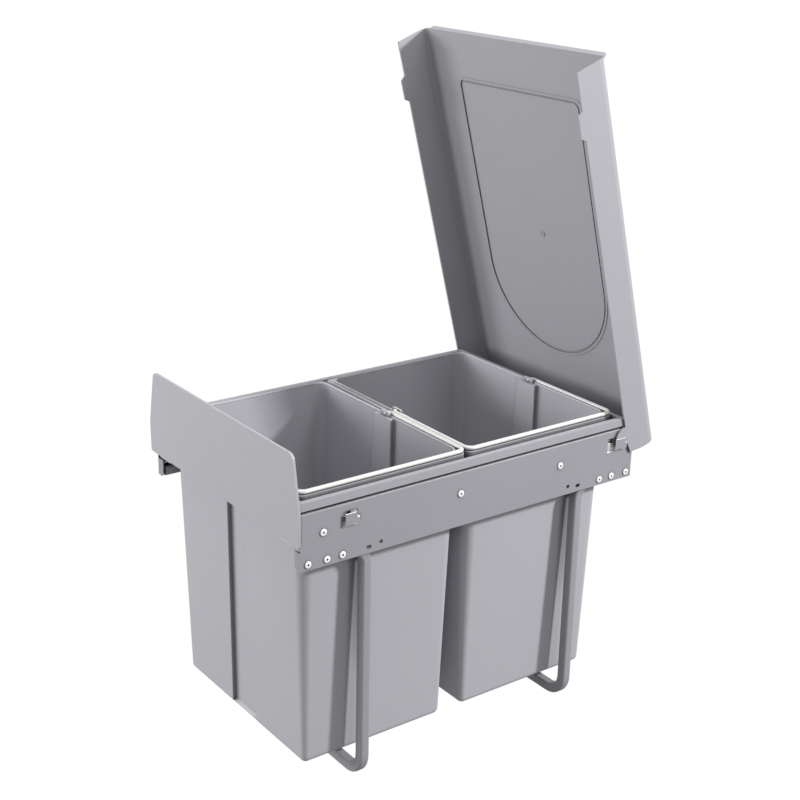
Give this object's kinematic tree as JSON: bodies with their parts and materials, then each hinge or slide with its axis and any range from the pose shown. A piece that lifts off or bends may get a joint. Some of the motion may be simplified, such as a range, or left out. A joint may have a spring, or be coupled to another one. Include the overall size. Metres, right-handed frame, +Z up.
{
  "type": "pull out waste unit",
  "caption": "Pull-out kitchen waste unit: lift-out bins with folding bails in a carrier on ball slides, side plates on tubular floor hoops, a front panel and a hinged tray lid.",
  "frame": {"origin": "on the floor plane, under the middle of the whole unit's box", "axes": "+Z up; -Y toward the room, out of the cabinet (the way the carrier pulls out); +X to the side of the nearer side plate in the picture"},
  "size_m": [0.34, 0.5354, 0.8263],
  "materials": {
    "grey_steel": "grey powder coat, satin",
    "rivet_metal": "plain blind rivets",
    "zinc": "bright zinc plate",
    "grey_plastic": "moulded, fine satin grain",
    "panel_grey": "grey coat, satin",
    "bin_grey": "moulded, fine satin grain",
    "bail_white": "smooth off-white coating"
  },
  "bodies": {
    "frame": {"side_plate_right": "grey_steel", "side_plate_left": "grey_steel", "hoop_front": "grey_steel", "hoop_rear": "grey_steel", "hoop_rivets": "rivet_metal", "slide_rivets": "rivet_metal", "slide_outer_right": "zinc", "slide_outer_left": "zinc"},
    "cage_outer_r": {"cage_outer_right": "zinc"},
    "cage_outer_l": {"cage_outer_left": "zinc"},
    "middle_r": {"slide_middle_right": "zinc"},
    "middle_l": {"slide_middle_left": "zinc"},
    "cage_inner_r": {"cage_inner_right": "zinc"},
    "cage_inner_l": {"cage_inner_left": "zinc"},
    "carrier": {"carrier_frame": "grey_plastic", "slide_inner_right": "zinc", "slide_inner_left": "zinc", "carrier_screws": "zinc", "front_panel": "panel_grey", "panel_screws": "zinc"},
    "bin_f": {"bin_front": "bin_grey"},
    "bin_r": {"bin_rear": "bin_grey"},
    "bail_f": {"bail_front": "bail_white"},
    "bail_r": {"bail_rear": "bail_white"},
    "lid": {"lid": "grey_plastic"}
  },
  "joints": [
    {"name": "carrier_slide", "type": "slide", "parent": "frame", "child": "carrier", "axis": [0, -1, 0], "range_m": [0, 0.47]},
    {"name": "middle_r_slide", "type": "slide", "parent": "frame", "child": "middle_r", "axis": [0, -1, 0], "range_m": [0, 0.235]},
    {"name": "middle_l_slide", "type": "slide", "parent": "frame", "child": "middle_l", "axis": [0, -1, 0], "range_m": [0, 0.235]},
    {"name": "cage_outer_r_slide", "type": "slide", "parent": "frame", "child": "cage_outer_r", "axis": [0, -1, 0], "range_m": [0, 0.1175]},
    {"name": "cage_outer_l_slide", "type": "slide", "parent": "frame", "child": "cage_outer_l", "axis": [0, -1, 0], "range_m": [0, 0.1175]},
    {"name": "cage_inner_r_slide", "type": "slide", "parent": "frame", "child": "cage_inner_r", "axis": [0, -1, 0], "range_m": [0, 0.3525]},
    {"name": "cage_inner_l_slide", "type": "slide", "parent": "frame", "child": "cage_inner_l", "axis": [0, -1, 0], "range_m": [0, 0.3525]},
    {"name": "bin_front_lift", "type": "slide", "parent": "carrier", "child": "bin_f", "axis": [0, 0, 1], "range_m": [0, 0.37]},
    {"name": "bin_rear_lift", "type": "slide", "parent": "carrier", "child": "bin_r", "axis": [0, 0, 1], "range_m": [0, 0.165]},
    {"name": "bail_front_hinge", "type": "hinge", "parent": "bin_f", "child": "bail_f", "pos_m": [0, -0.13999, 0.3839], "axis": [0, -1, 0], "range_deg": [0, 180]},
    {"name": "bail_rear_hinge", "type": "hinge", "parent": "bin_r", "child": "bail_r", "pos_m": [0, 0.09196, 0.3839], "axis": [0, -1, 0], "range_deg": [0, 180]},
    {"name": "lid_hinge", "type": "hinge", "parent": "frame", "child": "lid", "pos_m": [0, 0.21524, 0.3525], "axis": [1, 0, 0], "range_deg": [0, 75.07]}
  ],
  "couplings": [
    {"joint": "middle_r_slide", "follows": "carrier_slide", "ratio": 0.5},
    {"joint": "middle_l_slide", "follows": "carrier_slide", "ratio": 0.5},
    {"joint": "cage_outer_r_slide", "follows": "carrier_slide", "ratio": 0.25},
    {"joint": "cage_outer_l_slide", "follows": "carrier_slide", "ratio": 0.25},
    {"joint": "cage_inner_r_slide", "follows": "carrier_slide", "ratio": 0.75},
    {"joint": "cage_inner_l_slide", "follows": "carrier_slide", "ratio": 0.75}
  ]
}
